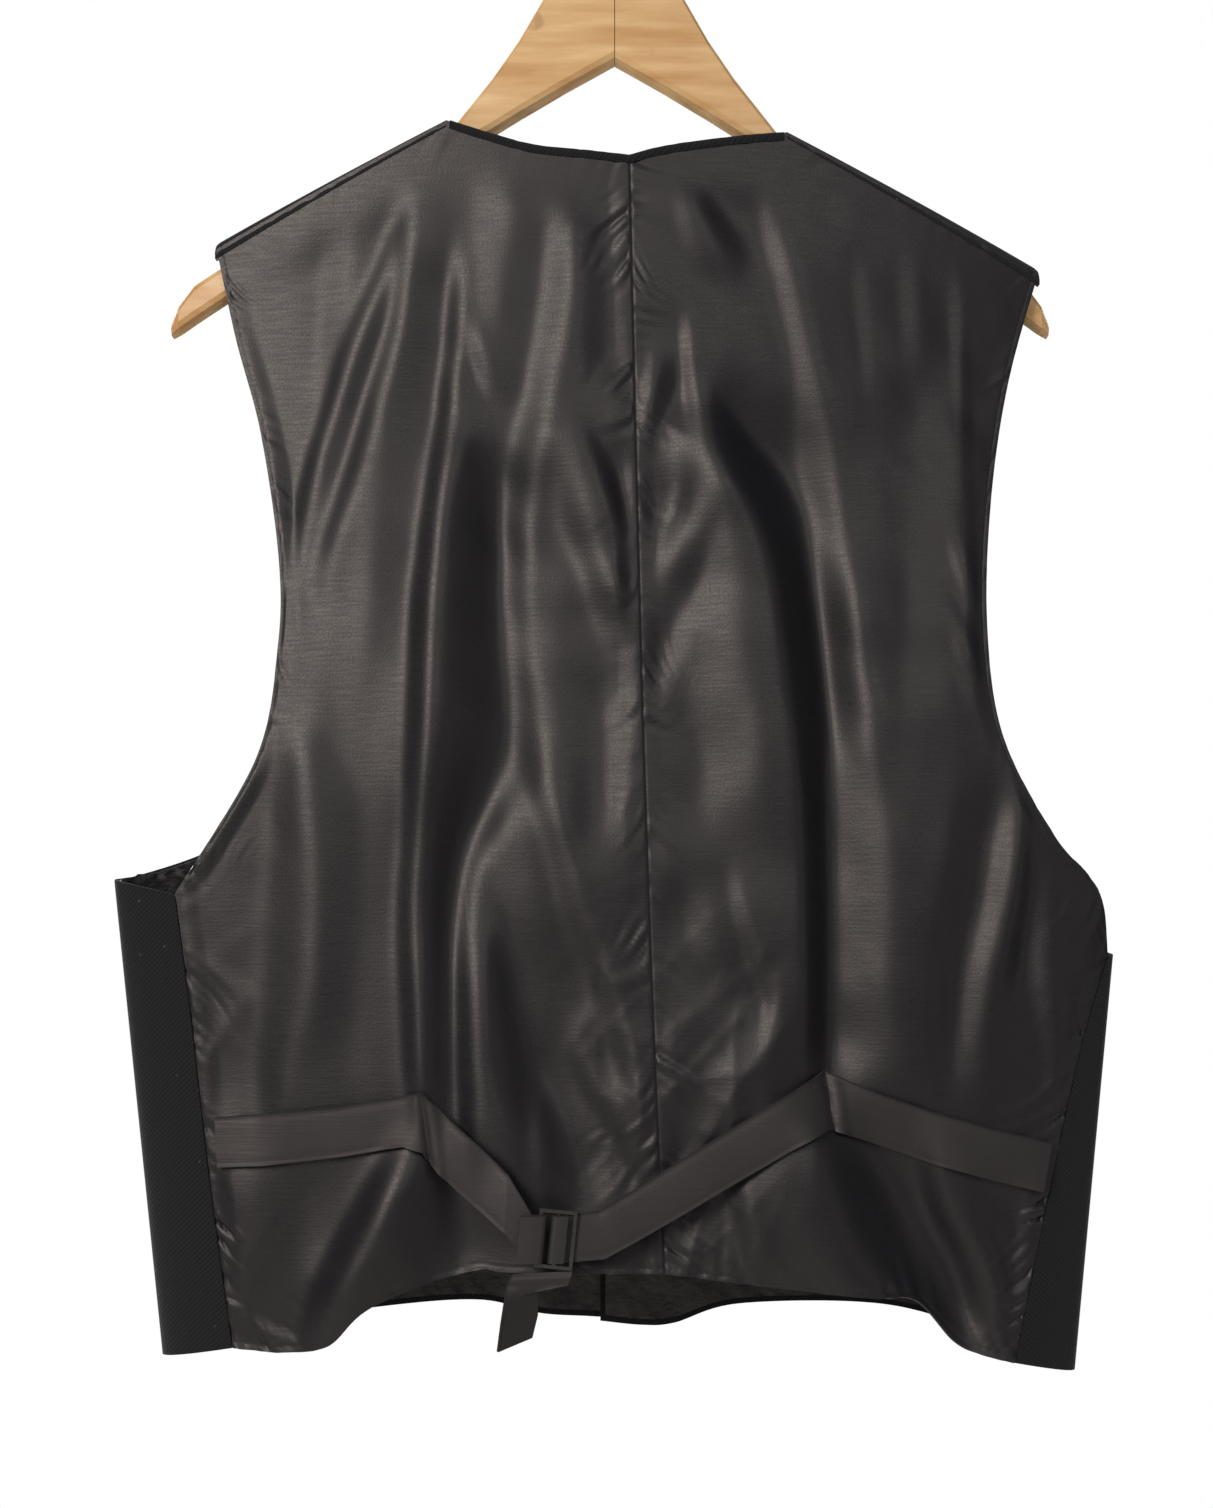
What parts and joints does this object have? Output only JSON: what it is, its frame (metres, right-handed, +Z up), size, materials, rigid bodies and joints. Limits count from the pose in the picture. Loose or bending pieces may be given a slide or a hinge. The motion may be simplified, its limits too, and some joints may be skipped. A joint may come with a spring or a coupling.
{
  "type": "western vest on a wooden hanger",
  "caption": "Hip-length waistcoat with a satin back, wool fronts closed by buttons and a buckled waist belt, hanging on a contoured wooden hanger.",
  "frame": {"origin": "inside top of the hanger's hook, where a rail holds it", "axes": "+Z up, +X to the right of a person who looks at the vest's back, +Y from the back towards the fronts"},
  "size_m": [0.4751, 0.1127, 0.7576],
  "materials": {
    "satin": "charcoal satin weave with a soft sheen",
    "wool": "matt black wool twill",
    "lining": "glossy black lining cloth",
    "strap": "black satin strap, less shiny than the back",
    "button": "satin black button",
    "buckle": "darkened nickel slide buckle",
    "wood": "pale honey varnished beech",
    "hook": "plated steel wire"
  },
  "bodies": {
    "root": {"back_left": "satin", "back_right": "satin", "neck_binding": "wool", "front_left": "wool", "front_right": "wool", "lining_left": "lining", "lining_right": "lining", "button_1": "button", "button_2": "button", "button_3": "button", "button_4": "button", "belt_left": "strap", "belt_right": "strap", "belt_tail": "strap", "buckle": "buckle", "hanger_left": "wood", "hanger_right": "wood", "hook": "hook"}
  },
  "joints": []
}
